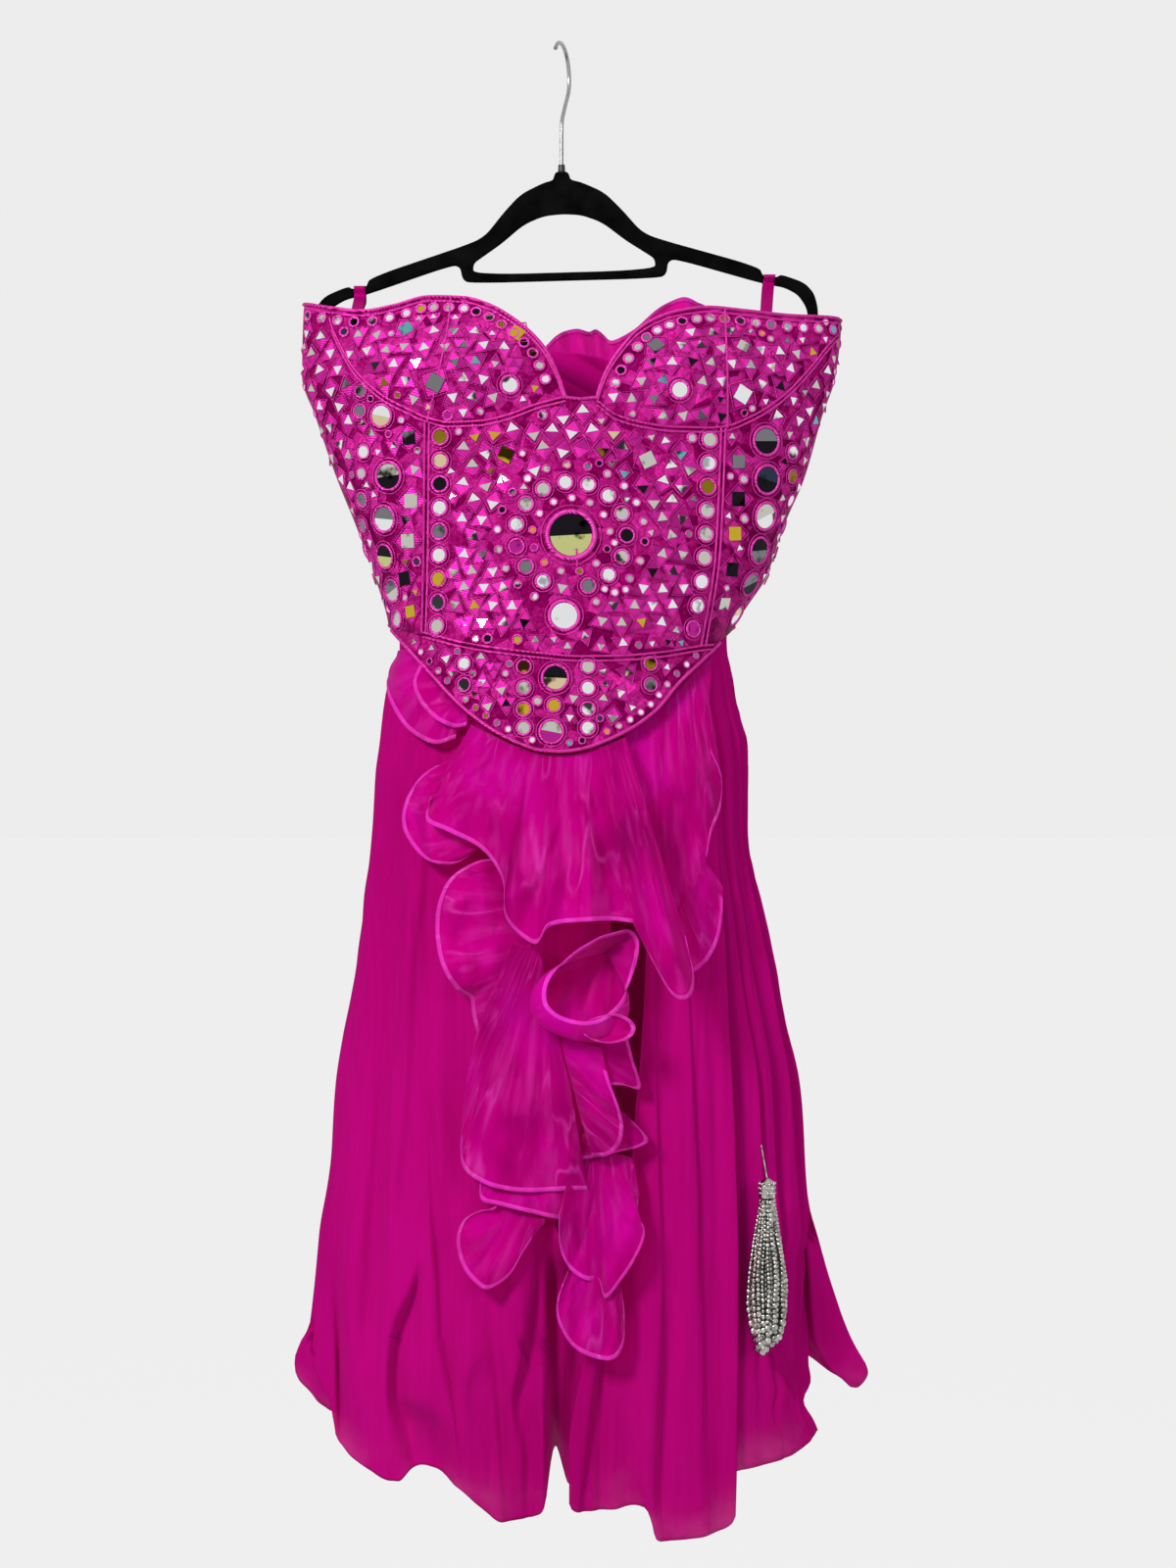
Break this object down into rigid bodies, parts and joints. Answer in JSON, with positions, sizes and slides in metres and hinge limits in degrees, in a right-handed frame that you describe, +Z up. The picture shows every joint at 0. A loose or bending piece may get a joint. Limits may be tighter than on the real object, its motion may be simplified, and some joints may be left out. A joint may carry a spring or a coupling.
{
  "type": "draped dress on a hanger",
  "caption": "Strapless evening dress hung on a flocked hanger: mirror-work bustier with a sweetheart neck, slit chiffon skirt, organza ruffle cascade and a beaded tassel.",
  "frame": {"origin": "where the inner top of the hanger's hook rests on a rail", "axes": "+Z up, -Y out of the dress's front, +X to the right of someone facing the front"},
  "size_m": [0.482, 0.2212, 1.2283],
  "materials": {
    "embroidery": "magenta satin covered with silk stitching, cord and small round, square and three-cornered mirrors",
    "chiffon": "matt magenta chiffon",
    "organza": "sheer magenta organza with a paler bound edge",
    "ribbon": "magenta satin ribbon",
    "flock": "black velvet flock over plastic",
    "ferrule": "black plastic",
    "hook_steel": "bright steel wire",
    "beads": "silver beads"
  },
  "bodies": {
    "root": {"cup_left": "embroidery", "cup_right": "embroidery", "bodice_centre": "embroidery", "bodice_side_left": "embroidery", "bodice_side_right": "embroidery", "bodice_hem_band": "embroidery", "bodice_back_left": "chiffon", "bodice_back_right": "chiffon", "skirt_front_left": "chiffon", "skirt_front_right": "chiffon", "skirt_side_right": "chiffon", "skirt_back_left": "chiffon", "skirt_back_right": "chiffon", "back_drape": "chiffon", "ruffle_hip_left": "organza", "ruffle_hip_left_inner": "organza", "ruffle_upper_left": "organza", "ruffle_main": "organza", "ruffle_flute": "organza", "ruffle_mid_left": "organza", "ruffle_loop": "organza", "ruffle_bow": "organza", "ruffle_centre": "organza", "ruffle_centre_hem": "organza", "ruffle_low_left": "organza", "ruffle_mid_right": "organza", "ruffle_flap_right": "organza", "ruffle_point_right": "organza", "ruffle_low_right": "organza", "ruffle_tail": "organza", "ruffle_hip_right": "organza", "ruffle_side_right": "organza", "back_ruffle": "organza", "hanging_loop_left": "ribbon", "hanging_loop_right": "ribbon", "hanger_body": "flock", "hook_ferrule": "ferrule", "hook": "hook_steel", "tassel_cap": "beads", "tassel_beads": "beads", "tassel_loop": "beads"}
  },
  "joints": []
}
